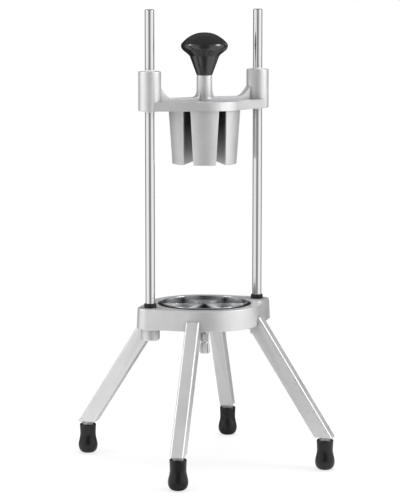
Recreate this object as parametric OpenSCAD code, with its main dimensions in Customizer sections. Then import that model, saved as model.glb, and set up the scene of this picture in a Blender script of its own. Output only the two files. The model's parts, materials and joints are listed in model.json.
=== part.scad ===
// Fruit wedger press: a hand-pushed head with six fingers slides on two guide rods and
// drives the fruit through a ring of three crossed blades, held up on four splayed legs.
// Millimetres, +Z up. The origin is on the table under the blade axis; the rods lie on X.

/* [Ring casting] */
// Height of the ring's underside above the table
ring_lift = 146; // [110:1:180]
// Height of the ring casting
ring_h = 21; // [18:1:30]
// Thickness of the ring's wall round the well
ring_wall = 11.75; // [10:0.25:14]
// Radial clearance of the blade ring in the well
well_gap = 0.35; // [0.25:0.05:0.6]
// Thickness of the ledge at the foot of the well
ledge_t = 3; // [2:0.5:5]
// Diameter of each ear round a guide rod
ear_d = 28; // [24:1:32]
// Outer diameter of the rod socket under each ear
socket_d = 19; // [16:0.5:22]
// How far the rod socket hangs below the ring
socket_drop = 12.5; // [9:0.5:16]

/* [Guide rods] */
// Distance between the two rod axes
rod_spacing = 128; // [126:1:140]
// Diameter of a guide rod
rod_d = 9.525; // [8:0.005:10]
// Length of a guide rod
rod_length = 330; // [290:1:360]
// Chamfer at the top of a guide rod
rod_chamfer = 1; // [0.5:0.1:2]
// Outer diameter of the rubber bumper on a rod
bumper_d = 12.6; // [12:0.1:16]
// Height of the rubber bumper
bumper_h = 4.4; // [3:0.1:8]

/* [Legs] */
// Angle between a leg and the plane of the rods
leg_angle = 48; // [46:0.5:50]
// Lean of a leg from upright
leg_lean = 32.5; // [26:0.5:36]
// Width of a leg across its outer face
leg_w = 14; // [12:0.5:14.5]
// Depth of a leg, square to its length
leg_depth = 16; // [15:0.5:18]
// Radius of the leg's two outer edges
leg_edge_r = 2.2; // [1:0.1:3]
// Drop from the ring's top to where a leg's outer face meets the wall
leg_meet_drop = 9; // [8:0.5:11]
// Width of the small flat at the top end of a leg
leg_top_flat = 1; // [0.5:0.1:1.5]
// Diameter of the round stub that carries a rubber foot
stub_d = 11.6; // [9:0.1:12.5]
// Length of the stub inside the foot
stub_grip = 15; // [10:0.5:20]
// Length of stub that shows between leg and foot
stub_show = 2.5; // [1:0.1:4]

/* [Rubber feet] */
// Height of a rubber foot
foot_h = 31; // [26:0.5:36]
// Diameter at the foot's rim
foot_rim_d = 17.3; // [16:0.1:19]
// Diameter at the foot's waist
foot_waist_d = 16.5; // [15.5:0.1:18]
// Largest diameter of the foot
foot_bulb_d = 20.4; // [19:0.1:24]
// Height of the largest diameter above the table
foot_bulb_z = 7.8; // [6:0.1:10]
// Diameter of the flat that the foot stands on
foot_flat_d = 7; // [5:0.5:10]

/* [Blades] */
// Outer diameter of the blade ring's band
band_d = 89.2; // [87:0.1:90]
// Wall of the band
band_t = 1.2; // [1:0.1:2]
// How far the band stands above the ring casting
band_proud = 1.2; // [0:0.1:3]
// Width of the flange that runs round the foot of the band
flange_w = 3.3; // [3:0.1:4]
// Thickness of the flange
flange_t = 2.5; // [2:0.1:3]
// Thickness of a blade
blade_t = 0.8; // [0.5:0.1:1.2]
// Height of a blade
blade_h = 15; // [12:0.5:15.5]
// Drop from the band's top to the cutting edges
edge_drop = 1.6; // [1:0.1:2]
// Height of the ground bevel along a cutting edge
bevel_h = 3; // [2:0.5:4]
// Height of the tab that pins a blade in the band
tab_h = 6; // [4:0.5:8]

/* [Thumb nuts] */
// Angle of the stud circle's nuts from the rod plane
nut_angle = 60; // [58:0.5:62]
// Diameter of a stud
stud_d = 4; // [3:0.5:4]
// Length of a stud below the flange
stud_length = 22; // [16:0.5:24]
// Height of a thumb nut
nut_h = 23.3; // [20:0.1:26]
// Diameter of the nut's upper grip
nut_grip_d = 9; // [8.5:0.1:9.5]
// Diameter of the nut's flared lower grip
nut_flare_d = 10.8; // [10:0.1:11]
// Number of flutes round the nut
nut_flutes = 16; // [12:1:20]

/* [Head casting] */
// Height of the plate's underside above the ring as shown
head_raise = 200.5; // [150:0.5:215]
// Thickness of the plate
plate_t = 9; // [8:0.5:12]
// Diameter of the round part of the plate
plate_d = 80; // [78:1:88]
// Diameter of a rod boss
boss_d = 23; // [20:0.5:26]
// Height of a rod boss
boss_h = 40; // [36:1:50]
// Thickness of the spine rib
spine_t = 8; // [5:0.5:10]
// Height of the spine rib above the plate
spine_h = 3.5; // [2:0.5:8]
// Length of the gusset along the spine, from the boss wall
gusset_l = 11; // [6:0.5:14]
// Height of the gusset above the spine
gusset_h = 9.5; // [6:0.5:14]
// Diameter of the centre post
post_d = 16.2; // [14:0.1:20]
// Height of the post's top above the plate
post_h = 26; // [22:0.5:32]
// Radius of the fillet at the foot of the post
post_fillet = 5; // [3:0.5:6]

/* [Bushings] */
// Outer diameter of a bushing
bushing_d = 12; // [11.5:0.1:13]
// Length of a bushing
bushing_l = 15; // [10:0.5:17]
// How far a bushing stands out of its boss
bushing_proud = 1.2; // [0.5:0.1:2]
// Radial running clearance on a guide rod
running_gap = 0.04; // [0.02:0.01:0.08]

/* [Push block] */
// Length of a finger below the plate
finger_l = 55.5; // [45:0.5:60]
// Diameter across the fingers at the plate
finger_top_d = 73.8; // [70:0.1:75]
// Diameter across the fingers at their tips
finger_tip_d = 66.8; // [60:0.1:69]
// Width of a slot at the plate
slot_top_w = 8.1; // [6:0.1:10]
// Width of a slot at the tips
slot_tip_w = 11; // [8:0.1:13]
// Rise of the fingers' hollow underside at the axis
cup_rise = 4.5; // [0:0.5:8]
// Radius of the edge round the fingertips
tip_edge = 1.5; // [0.5:0.1:3]
// Depth that the block's disc is let into the plate
disc_t = 4; // [3:0.5:5]
// Diameter of the screws that hold the block
block_screw_d = 5; // [4:0.5:5.5]
// Diameter of the circle that those screws lie on
block_screw_circle_d = 48; // [44:1:52]

/* [Knob] */
// Largest diameter of the knob
knob_d = 48; // [40:0.5:56]
// Height of the knob
knob_h = 43.2; // [38:0.1:50]
// Height of the neck's conical part
neck_h = 19.5; // [14:0.5:22]
// Diameter of the neck where it meets the cap
neck_top_d = 30.6; // [26:0.1:34]
// Height of the widest line above the knob's foot
knob_equator_h = 29.2; // [26:0.1:32]
// Diameter of the threaded stud in the knob
knob_stud_d = 8; // [6:1:8]
// Length of the threaded stud
knob_stud_l = 34; // [26:1:36]
// Diameter of the metal insert moulded into the knob
insert_d = 12; // [11:0.5:13]
// Length of the metal insert
insert_l = 16; // [12:0.5:18]

/* [Screws] */
// Diameter of the leg and rod screws
screw_d = 5; // [4:0.5:5]
// Head diameter of those screws
screw_head_d = 8.5; // [7:0.1:8.6]
// Head height of those screws
screw_head_h = 3.2; // [2.5:0.1:4]
// Length of a leg screw below its head
leg_screw_l = 13; // [10:0.5:16]
// Length of a rod screw below its head
rod_screw_l = 14; // [10:0.5:18]

/* [Hidden] */
$fn = 72;
outline_steps = 16;

// Clearances
fit = 0.05;        // still parts that are pressed or screwed together
seat = 0.1;        // seats of loose-fitting pieces
over = 1;          // how far a cutter runs past what it cuts
turn_gap = 0.05;   // radial clearance of a nut on its stud
rest_gap = 0.2;    // between the nut and the ledge

// Ring and rods
flange_d = band_d + 2 * flange_w;
well_d = flange_d + 2 * well_gap;
ring_d = well_d + 2 * ring_wall;
ring_top = ring_lift + ring_h;
rod_x = rod_spacing / 2;
well_floor = ring_lift + ledge_t;
throat_r = band_d / 2 - band_t;
socket_foot = ring_lift - socket_drop;
socket_web = 2.5;
socket_edge = 2;
rod_screw_seat = socket_foot + screw_head_h + 0.2;
rod_foot = rod_screw_seat + socket_web;
rod_top = rod_foot + rod_length;

// Legs: the outer face meets the wall at leg_meet_z and runs down and out from there
leg_foot_z = foot_h + stub_show;
leg_meet_z = ring_top - leg_meet_drop;
leg_chord = leg_depth / cos(leg_lean);
foot_r = ring_d / 2 + (leg_meet_z - leg_foot_z) * tan(leg_lean) - leg_chord / 2;
leg_top_z = leg_meet_z - leg_top_flat / tan(leg_lean);
leg_inner_edge_r = 0.6;
leg_screw_seat = ring_lift - 5;
leg_screw_circle_d = (well_d + ring_d) / 2;

// Blade ring and blades
band_top = ring_top + band_proud;
flange_top = well_floor + flange_t;
edge_z = band_top - edge_drop;
blade_foot = edge_z - blade_h;
blade_angles = [30, 90, 150];
cross_w = blade_t * (1 / sin(60) + 1 / tan(60)) + 2 * seat;
edge_flat = 0.16;
stud_circle_d = (band_d + flange_d) / 2;

// Thumb nuts
nut_top = ring_lift - rest_gap;
nut_neck_h = 2.6;
nut_groove_h = 1.4;
nut_upper_h = 8.6;
nut_edge = 1.2;
flute_r = 0.55;

// Head
plate_foot = ring_top + head_raise;
plate_top = plate_foot + plate_t;
spine_top = plate_top + spine_h;
boss_top = plate_foot + boss_h;
post_top = plate_top + post_h;
knob_foot = post_top + fit;
stud_in_post = 16;
knob_stud_top = post_top - stud_in_post + knob_stud_l;
block_screw_angles = [60, 120, 240, 300];
countersink_d = block_screw_d * 1.8;
countersink_h = (countersink_d - block_screw_d) / 2;
block_screw_l = 19;
insert_foot = knob_foot + 1;

// Colours
cast_grey = [0.76, 0.76, 0.77];
steel = [0.80, 0.81, 0.82];
rubber = [0.06, 0.06, 0.06];
nylon = [0.93, 0.93, 0.91];
brass = [0.80, 0.65, 0.32];

// Half the angle at which a straight flank leaves a round body for a smaller round lobe
function flank_angle(body_r, lobe_r, reach) = acos((body_r - lobe_r) / reach);

// Points of a quarter arc about centre c, radius r, from angle a to angle b
function arc_points(c, r, a, b, steps = 6) =
    [for (i = [0:steps]) c + r * [cos(a + (b - a) * i / steps), sin(a + (b - a) * i / steps)]];

// A round body with a round lobe at each side, joined by flanks that touch both
module lobed_outline(body_r, lobe_r, reach) {
    lean = flank_angle(body_r, lobe_r, reach);
    polygon(concat(
        arc_points([0, 0], body_r, lean, 180 - lean, outline_steps),
        arc_points([-reach, 0], lobe_r, 180 - lean, 180 + lean, outline_steps),
        arc_points([0, 0], body_r, 180 + lean, 360 - lean, outline_steps),
        arc_points([reach, 0], lobe_r, -lean, lean, outline_steps)
    ));
}

// A cylinder with a chamfer at its foot or its top
module pin(r, foot, top, chamfer_foot = 0, chamfer_top = 0) {
    rotate_extrude() polygon([
        [0, foot],
        [r - chamfer_foot, foot],
        [r, foot + chamfer_foot],
        [r, top - chamfer_top],
        [r - chamfer_top, top],
        [0, top]
    ]);
}

// A plain bore or cutter from one height to another
module bore(r, foot, top) {
    translate([0, 0, foot]) cylinder(r = r, h = top - foot);
}

// Places its children at both guide rods
module at_rods() {
    for (side = [-1, 1]) translate([side * rod_x, 0, 0]) children();
}

module base_casting() {
    color(cast_grey) difference() {
        union() {
            translate([0, 0, ring_lift]) linear_extrude(ring_h)
                lobed_outline(ring_d / 2, ear_d / 2, rod_x);
            at_rods() pin(socket_d / 2, socket_foot, ring_lift + over, chamfer_foot = socket_edge);
        }
        bore(well_d / 2, well_floor, ring_top + over);
        bore(throat_r, ring_lift - over, well_floor + over);
        at_rods() {
            bore(rod_d / 2 + fit, rod_foot, ring_top + over);
            bore(screw_d / 2 + seat, socket_foot - over, rod_foot + over);
            bore(screw_head_d / 2 + seat, socket_foot - over, rod_screw_seat);
        }
        for (half = [0, 180]) rotate(nut_angle + half) translate([stud_circle_d / 2, 0, 0])
            bore(stud_d / 2 + 2 * seat, ring_lift - over, well_floor + over);
        for (side = [0, 180], lean = [-1, 1]) rotate(side + lean * leg_angle)
            translate([leg_screw_circle_d / 2, 0, 0])
                bore(screw_d / 2 + fit, ring_lift - over, leg_screw_seat + leg_screw_l + over);
    }
}

// Section of a leg: rounded on its outer side, nearly sharp on its inner side
module leg_section() {
    outer = leg_depth / 2 - leg_edge_r;
    inner = leg_depth / 2 - leg_inner_edge_r;
    side_outer = leg_w / 2 - leg_edge_r;
    side_inner = leg_w / 2 - leg_inner_edge_r;
    polygon(concat(
        arc_points([outer, side_outer], leg_edge_r, 0, 90),
        arc_points([-inner, side_inner], leg_inner_edge_r, 90, 180, 2),
        arc_points([-inner, -side_inner], leg_inner_edge_r, 180, 270, 2),
        arc_points([outer, -side_outer], leg_edge_r, 270, 360)
    ));
}

module leg(angle) {
    bar_length = ring_lift;
    color(cast_grey) difference() {
        rotate(angle) difference() {
            union() {
                intersection() {
                    translate([foot_r, 0, leg_foot_z]) rotate([0, -leg_lean, 0])
                        translate([0, 0, -leg_depth]) linear_extrude(2 * bar_length) leg_section();
                    translate([0, -leg_w, leg_foot_z])
                        cube([2 * foot_r, 2 * leg_w, leg_top_z - leg_foot_z]);
                }
                translate([foot_r, 0, 0]) pin(stub_d / 2, foot_h - stub_grip, leg_foot_z + over,
                    chamfer_foot = 1);
            }
            translate([leg_screw_circle_d / 2, 0, 0]) {
                bore(screw_head_d / 2 + 2 * seat, ring_lift / 2, leg_screw_seat);
                bore(screw_d / 2 + seat, leg_screw_seat - over, ring_top);
            }
        }
        translate([0, 0, ring_lift]) linear_extrude(ring_h)
            lobed_outline(ring_d / 2 + seat, ear_d / 2 + seat, rod_x);
    }
}

module socket_screw(head_foot, length) {
    bore(screw_d / 2, head_foot + screw_head_h - 0.01, head_foot + screw_head_h + length);
    difference() {
        pin(screw_head_d / 2, head_foot, head_foot + screw_head_h, chamfer_foot = 0.5);
        translate([0, 0, head_foot - over]) cylinder(d = screw_d * 0.9, h = over + 1.8, $fn = 6);
    }
}

module leg_screws() {
    color(steel) for (side = [0, 180], lean = [-1, 1]) rotate(side + lean * leg_angle)
        translate([leg_screw_circle_d / 2, 0, 0])
            socket_screw(leg_screw_seat - screw_head_h, leg_screw_l);
}

// Height profile of a foot's dome: part quarter ellipse, part cone
function dome_r(t) = (foot_flat_d + (foot_bulb_d - foot_flat_d) * (0.55 * sin(t) + 0.45 * (1 - cos(t)))) / 2;

module foot(angle) {
    waist_z = (foot_bulb_z + foot_h) / 2;
    color(rubber) rotate(angle) translate([foot_r, 0, 0]) difference() {
        rotate_extrude() polygon(concat(
            [[0, 0]],
            [for (t = [0:15:90]) [dome_r(t), foot_bulb_z * (1 - cos(t))]],
            [for (u = [0.25:0.25:1]) [
                (foot_waist_d + (foot_bulb_d - foot_waist_d) * (1 + cos(180 * u)) / 2) / 2,
                foot_bulb_z + (waist_z - foot_bulb_z) * u
            ]],
            [[foot_rim_d / 2, foot_h - 0.8], [foot_rim_d / 2 - 0.6, foot_h], [0, foot_h]]
        ));
        bore(stub_d / 2 + fit, foot_h - stub_grip - fit, foot_h + over);
    }
}

module guide_rod(side) {
    color(steel) translate([side * rod_x, 0, 0]) difference() {
        pin(rod_d / 2, rod_foot, rod_top, chamfer_foot = 0.4, chamfer_top = rod_chamfer);
        bore(screw_d / 2 + fit, rod_foot - over, rod_screw_seat + rod_screw_l + over);
    }
}

module rod_screws() {
    color(steel) at_rods() socket_screw(rod_screw_seat - screw_head_h, rod_screw_l);
}

module bumper(side) {
    bevel = 0.8;
    color(rubber) translate([side * rod_x, 0, ring_top + seat]) rotate_extrude() polygon([
        [rod_d / 2 + fit, 0],
        [bumper_d / 2 - bevel / 2, 0],
        [bumper_d / 2, bevel],
        [bumper_d / 2, bumper_h - bevel],
        [bumper_d / 2 - bevel, bumper_h],
        [rod_d / 2 + fit, bumper_h]
    ]);
}

module blade_ring() {
    lip = 0.3;
    color(steel) difference() {
        union() {
            rotate_extrude() polygon([
                [throat_r, well_floor],
                [flange_d / 2, well_floor],
                [flange_d / 2, flange_top],
                [band_d / 2, flange_top],
                [band_d / 2, band_top - lip],
                [band_d / 2 - lip, band_top],
                [throat_r + lip, band_top],
                [throat_r, band_top - lip]
            ]);
            for (half = [0, 180]) rotate(nut_angle + half) translate([stud_circle_d / 2, 0, 0])
                pin(stud_d / 2, well_floor - stud_length, well_floor + over, chamfer_foot = 0.5);
        }
        for (angle = blade_angles) rotate(angle)
            translate([-band_d, -blade_t / 2 - fit, tab_foot() - fit])
                cube([2 * band_d, blade_t + 2 * fit, tab_h + 2 * fit]);
    }
}

// Lowest height of the blade tabs, set midway up the blade
function tab_foot() = blade_foot + (blade_h - tab_h) / 2;

// One full-width blade. At the axis it keeps only the third of its height numbered keep,
// counted from the bottom, so that three blades cross there.
module blade(angle, keep) {
    third = blade_h / 3;
    tip_l = sqrt(pow(throat_r, 2) - pow(blade_t / 2, 2)) - fit;
    color(steel) rotate(angle) difference() {
        union() {
            rotate([90, 0, 90]) translate([0, 0, -tip_l]) linear_extrude(2 * tip_l) polygon([
                [-blade_t / 2, blade_foot],
                [blade_t / 2, blade_foot],
                [blade_t / 2, edge_z - bevel_h],
                [edge_flat / 2, edge_z],
                [-edge_flat / 2, edge_z],
                [-blade_t / 2, edge_z - bevel_h]
            ]);
            translate([-band_d / 2, -blade_t / 2, tab_foot()]) cube([band_d, blade_t, tab_h]);
        }
        for (part = [0:2]) if (part != keep)
            translate([-cross_w / 2, -blade_t, blade_foot + third * part - (part == 0 ? over : seat)])
                cube([cross_w, 2 * blade_t, third + seat + (part == 1 ? seat : over)]);
    }
}

module thumb_nut(half) {
    neck_r = nut_grip_d / 2 - 0.7;
    groove_top = nut_top - nut_neck_h - nut_upper_h;
    flare_top = groove_top - nut_groove_h;
    nut_foot = nut_top - nut_h;
    color(steel) rotate(nut_angle + half) translate([stud_circle_d / 2, 0, 0]) difference() {
        rotate_extrude() polygon([
            [0, nut_foot],
            [nut_flare_d / 2 - nut_edge, nut_foot],
            [nut_flare_d / 2, nut_foot + nut_edge],
            [nut_flare_d / 2, nut_foot + 3 * nut_edge],
            [nut_grip_d / 2, flare_top],
            [neck_r, flare_top],
            [neck_r, groove_top],
            [nut_grip_d / 2, groove_top],
            [nut_grip_d / 2, nut_top - nut_neck_h],
            [neck_r, nut_top - nut_neck_h],
            [neck_r, nut_top],
            [0, nut_top]
        ]);
        bore(stud_d / 2 + turn_gap, well_floor - stud_length - seat, nut_top + over);
        for (k = [0:nut_flutes - 1]) rotate(k * 360 / nut_flutes) {
            translate([nut_grip_d / 2 + flute_r / 2, 0, 0])
                bore(flute_r, groove_top - nut_groove_h / 2, nut_top - nut_neck_h + over / 2);
            translate([nut_flare_d / 2 + flute_r / 2, 0, 0])
                bore(flute_r, nut_foot - over, groove_top - nut_groove_h / 2);
        }
    }
}

// Side view of the spine: a low rib with a gusset against each boss and fillets at the post
module spine_profile() {
    boss_wall = rod_x - boss_d / 2;
    corner = post_d / 2 + post_fillet - 0.3;
    polygon(concat(
        [[-rod_x, plate_top - over], [rod_x, plate_top - over], [rod_x, spine_top + gusset_h]],
        [[boss_wall - 0.5, spine_top + gusset_h], [boss_wall - gusset_l, spine_top]],
        arc_points([corner, spine_top + post_fillet], post_fillet, 270, 180),
        arc_points([-corner, spine_top + post_fillet], post_fillet, 360, 270),
        [[gusset_l - boss_wall, spine_top], [0.5 - boss_wall, spine_top + gusset_h]],
        [[-rod_x, spine_top + gusset_h]]
    ));
}

module head_casting() {
    boss_edge = 0.8;
    lobe_inset = 0.5;
    color(cast_grey) difference() {
        union() {
            translate([0, 0, plate_foot]) linear_extrude(plate_t)
                lobed_outline(plate_d / 2, boss_d / 2 - lobe_inset, rod_x);
            at_rods() pin(boss_d / 2, plate_foot, boss_top, chamfer_top = boss_edge);
            pin(post_d / 2, plate_foot + disc_t + over, post_top, chamfer_top = boss_edge);
            rotate([90, 0, 0]) translate([0, 0, -spine_t / 2]) linear_extrude(spine_t)
                spine_profile();
        }
        bore(finger_top_d / 2 + seat, plate_foot - over, plate_foot + disc_t + fit);
        at_rods() {
            bore(rod_d / 2 + 0.6, plate_foot - over, boss_top + over);
            bore(bushing_d / 2 + fit, plate_foot - over, plate_foot + bushing_l - bushing_proud);
            bore(bushing_d / 2 + fit, boss_top - bushing_l + bushing_proud, boss_top + over);
        }
        bore(knob_stud_d / 2 + fit, post_top - stud_in_post - seat, post_top + over);
        for (angle = block_screw_angles) rotate(angle)
            translate([block_screw_circle_d / 2, 0, 0]) {
                bore(block_screw_d / 2 + seat, plate_foot, plate_top + over);
                rotate_extrude() polygon([
                    [0, plate_top - countersink_h - seat],
                    [block_screw_d / 2, plate_top - countersink_h - seat],
                    [countersink_d / 2 + seat, plate_top],
                    [countersink_d / 2 + seat, plate_top + over],
                    [0, plate_top + over]
                ]);
            }
    }
}

module push_block() {
    tip_z = plate_foot - finger_l;
    color(cast_grey) difference() {
        rotate_extrude() polygon([
            [0, tip_z + cup_rise],
            [finger_tip_d / 2 - tip_edge, tip_z],
            [finger_tip_d / 2, tip_z + tip_edge],
            [finger_top_d / 2, plate_foot],
            [finger_top_d / 2, plate_foot + disc_t],
            [0, plate_foot + disc_t]
        ]);
        for (angle = blade_angles) rotate([90, 0, angle + 90])
            translate([0, 0, -finger_top_d]) linear_extrude(2 * finger_top_d) polygon([
                [-slot_top_w / 2, plate_foot],
                [slot_top_w / 2, plate_foot],
                [slot_tip_w / 2, tip_z],
                [slot_tip_w / 2, tip_z - over],
                [-slot_tip_w / 2, tip_z - over],
                [-slot_tip_w / 2, tip_z]
            ]);
        for (angle = block_screw_angles) rotate(angle)
            translate([block_screw_circle_d / 2, 0, 0])
                bore(block_screw_d / 2 + fit, plate_top - block_screw_l - over, plate_top);
    }
}

module push_block_screws() {
    color(steel) for (angle = block_screw_angles) rotate(angle)
        translate([block_screw_circle_d / 2, 0, 0]) difference() {
            rotate_extrude() polygon([
                [0, plate_top - block_screw_l],
                [block_screw_d / 2, plate_top - block_screw_l],
                [block_screw_d / 2, plate_top - countersink_h - seat],
                [countersink_d / 2, plate_top - seat],
                [0, plate_top - seat]
            ]);
            translate([0, 0, plate_top - 1.4]) cylinder(d = block_screw_d * 0.7, h = 2, $fn = 6);
        }
}

module bushing(side, foot) {
    color(nylon) translate([side * rod_x, 0, 0]) difference() {
        pin(bushing_d / 2, foot, foot + bushing_l, chamfer_foot = 0.4, chamfer_top = 0.4);
        bore(rod_d / 2 + running_gap, foot - over, foot + bushing_l + over);
    }
}

module lower_bushing(side) {
    bushing(side, plate_foot - bushing_proud);
}

module upper_bushing(side) {
    bushing(side, boss_top + bushing_proud - bushing_l);
}

module knob() {
    rim_h = 1.6;
    cap_r = knob_d / 2;
    dome_h = knob_h - knob_equator_h - rim_h / 2;
    under_h = knob_equator_h - rim_h / 2 - neck_h;
    color(rubber) translate([0, 0, knob_foot]) difference() {
        rotate_extrude() polygon(concat(
            [[0, 0], [post_d / 2, 0], [neck_top_d / 2, neck_h]],
            [[cap_r - 0.8, neck_h + under_h], [cap_r, knob_equator_h]],
            [for (t = [0:9:90]) [
                (cap_r - 0.8) * (0.5 * cos(t) + 0.5 * (1 - t / 90)),
                knob_equator_h + rim_h / 2 + dome_h * (0.62 * sin(t) + 0.38 * t / 90)
            ]]
        ));
        bore(insert_d / 2 + fit, -over, insert_foot - knob_foot + insert_l + seat);
        bore(knob_stud_d / 2 + seat, 0, knob_stud_top + seat - knob_foot);
    }
}

module knob_stud() {
    color(steel) pin(knob_stud_d / 2, knob_stud_top - knob_stud_l, knob_stud_top,
        chamfer_foot = 0.8, chamfer_top = 0.8);
}

module knob_insert() {
    color(brass) difference() {
        pin(insert_d / 2, insert_foot, insert_foot + insert_l, chamfer_foot = 0.4, chamfer_top = 0.4);
        bore(knob_stud_d / 2 + fit, insert_foot - over, insert_foot + insert_l + over);
    }
}

base_casting();
leg(180 + leg_angle);  // leg_front_left
leg(-leg_angle);  // leg_front_right
leg(180 - leg_angle);  // leg_rear_left
leg(leg_angle);  // leg_rear_right
leg_screws();
foot(180 + leg_angle);  // foot_front_left
foot(-leg_angle);  // foot_front_right
foot(180 - leg_angle);  // foot_rear_left
foot(leg_angle);  // foot_rear_right
guide_rod(-1);  // guide_rod_left
guide_rod(1);  // guide_rod_right
rod_screws();
bumper(-1);  // bumper_left
bumper(1);  // bumper_right
blade_ring();
blade(blade_angles[0], 0);  // blade_lower
blade(blade_angles[1], 1);  // blade_middle
blade(blade_angles[2], 2);  // blade_upper
thumb_nut(180);  // thumb_nut_front
thumb_nut(0);  // thumb_nut_rear
head_casting();
push_block();
push_block_screws();
upper_bushing(-1);  // bushing_left_upper
lower_bushing(-1);  // bushing_left_lower
upper_bushing(1);  // bushing_right_upper
lower_bushing(1);  // bushing_right_lower
knob();
knob_stud();
knob_insert();
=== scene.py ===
"""Looks of a hand-pushed wedger press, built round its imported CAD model."""

import json
import logging
import math
from dataclasses import dataclass
from enum import Enum
from typing import Optional, Sequence

import bmesh
import bpy
from mathutils import Matrix, Vector


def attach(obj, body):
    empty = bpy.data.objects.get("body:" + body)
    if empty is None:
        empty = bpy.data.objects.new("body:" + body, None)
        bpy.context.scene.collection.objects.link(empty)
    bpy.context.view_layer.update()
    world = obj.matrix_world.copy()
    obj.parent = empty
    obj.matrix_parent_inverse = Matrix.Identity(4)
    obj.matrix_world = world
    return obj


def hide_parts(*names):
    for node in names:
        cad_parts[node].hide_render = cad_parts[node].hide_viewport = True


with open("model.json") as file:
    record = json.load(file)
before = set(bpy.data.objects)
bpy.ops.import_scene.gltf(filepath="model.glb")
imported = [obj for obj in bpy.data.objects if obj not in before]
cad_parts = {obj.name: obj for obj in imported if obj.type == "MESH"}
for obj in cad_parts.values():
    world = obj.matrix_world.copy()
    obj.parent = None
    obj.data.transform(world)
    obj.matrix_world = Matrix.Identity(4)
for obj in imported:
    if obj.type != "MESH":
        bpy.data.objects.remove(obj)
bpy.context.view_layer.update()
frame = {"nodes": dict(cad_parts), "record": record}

MM = 0.001
LOG = logging.getLogger("wedger")

Point = tuple[float, float]
Profile = Sequence[Point]
Colour = tuple[float, float, float]
Place = tuple[float, float, float]
Object = bpy.types.Object
Material = bpy.types.Material
Tree = bpy.types.NodeTree
Node = bpy.types.Node
Socket = bpy.types.NodeSocket

# Sizes that several pieces share, in millimetres and degrees
ROD_REACH = 64.0  # from the middle to a guide rod
LEG_REACH = 129.83  # from the middle to a foot
LEG_ANGLE = 48.0  # of a leg from the rods' plane
LEG_FOOT = 33.5  # lower end of a leg's bar
RING_FOOT = 146.0
RING_BORE_R = 43.4
WELL_FOOT = 149.0
STUD_REACH = 46.25  # from the middle to a stud
STUD_ANGLE = 60.0
PLATE_FOOT = 367.5
FINGER_LENGTH = 55.5
FINGER_TOP_R = 36.9
FINGER_TIP_R = 33.4

# Turn of each leg and foot about the vertical axis, from one that points along +X
CORNERS = {
    "rear_right": LEG_ANGLE,
    "rear_left": 180 - LEG_ANGLE,
    "front_left": 180 + LEG_ANGLE,
    "front_right": -LEG_ANGLE,
}


class Body(Enum):
    """The bodies of the CAD model that a piece can ride on."""

    BASE = "base"
    HEAD = "head"
    NUT_FRONT = "nut_front"
    NUT_REAR = "nut_rear"


class Op(Enum):
    """How one solid is combined with another."""

    JOIN = "UNION"
    CUT = "DIFFERENCE"


# --- Modelling steps ---


def deselect_all() -> None:
    """Leaves edit mode and deselects every object."""
    active = bpy.context.view_layer.objects.active
    if active is not None and active.mode != "OBJECT":
        bpy.ops.object.mode_set(mode="OBJECT")
    bpy.ops.object.select_all(action="DESELECT")


def pick(obj: Object) -> None:
    """Makes obj the only selected object and the active one.

    Args:
        obj: the object.
    """
    deselect_all()
    obj.select_set(True)
    bpy.context.view_layer.objects.active = obj


def edit(obj: Object) -> None:
    """Opens obj in edit mode with all of it selected.

    Args:
        obj: the object, with a mesh.
    """
    pick(obj)
    bpy.ops.object.mode_set(mode="EDIT")
    bpy.ops.mesh.select_mode(type="VERT")
    bpy.ops.mesh.select_all(action="SELECT")


def settle(obj: Object) -> Object:
    """Puts the object's origin at the frame's origin and keeps its mesh in place.

    Args:
        obj: the object.

    Returns:
        The same object.
    """
    pick(obj)
    bpy.ops.object.transform_apply(location=True, rotation=True, scale=True)
    return obj


def up(z: float) -> Vector:
    """A point on the vertical axis, or a way along it."""
    return Vector((0.0, 0.0, z))


def extrude(way: Vector) -> None:
    """Extrudes what is selected, by a way in millimetres."""
    bpy.ops.mesh.extrude_region_move(TRANSFORM_OT_translate={"value": way * MM})


def chain(name: str, points: Sequence[Vector]) -> Object:
    """Draws a chain of edges by extruding one vertex from point to point.

    Args:
        name: name of the new object.
        points: the chain's points in millimetres.

    Returns:
        The object, in edit mode with all of it selected.
    """
    deselect_all()
    bpy.ops.mesh.primitive_plane_add(size=MM, location=points[0] * MM)
    obj = bpy.context.object
    obj.name = obj.data.name = name
    edit(settle(obj))
    bpy.ops.mesh.merge(type="CENTER")
    for start, end in zip(points, points[1:]):
        extrude(end - start)
    bpy.ops.mesh.select_all(action="SELECT")
    return obj


def lathe(name: str, profile: Profile, at: Point = (0.0, 0.0), steps: int = 96) -> Object:
    """Spins a profile of radius and height into a closed round body.

    Args:
        name: name of the new object.
        profile: (radius, height) pairs in millimetres. It ends on the axis or where it began.
        at: x and y of the axis in millimetres.
        steps: number of segments round the axis.

    Returns:
        The finished object, at the frame's origin.
    """
    x, y = at
    obj = chain(name, [Vector((x + r, y, z)) for r, z in profile])
    centre = (x * MM, y * MM, 0.0)
    bpy.ops.mesh.spin(steps=steps, angle=math.tau, center=centre, axis=(0.0, 0.0, 1.0))
    tidy_mesh()
    return obj


def tidy_mesh() -> None:
    """Merges doubles, turns faces outwards and leaves edit mode."""
    bpy.ops.mesh.select_all(action="SELECT")
    bpy.ops.mesh.remove_doubles(threshold=0.002 * MM)
    bpy.ops.mesh.normals_make_consistent(inside=False)
    bpy.ops.object.mode_set(mode="OBJECT")


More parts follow.
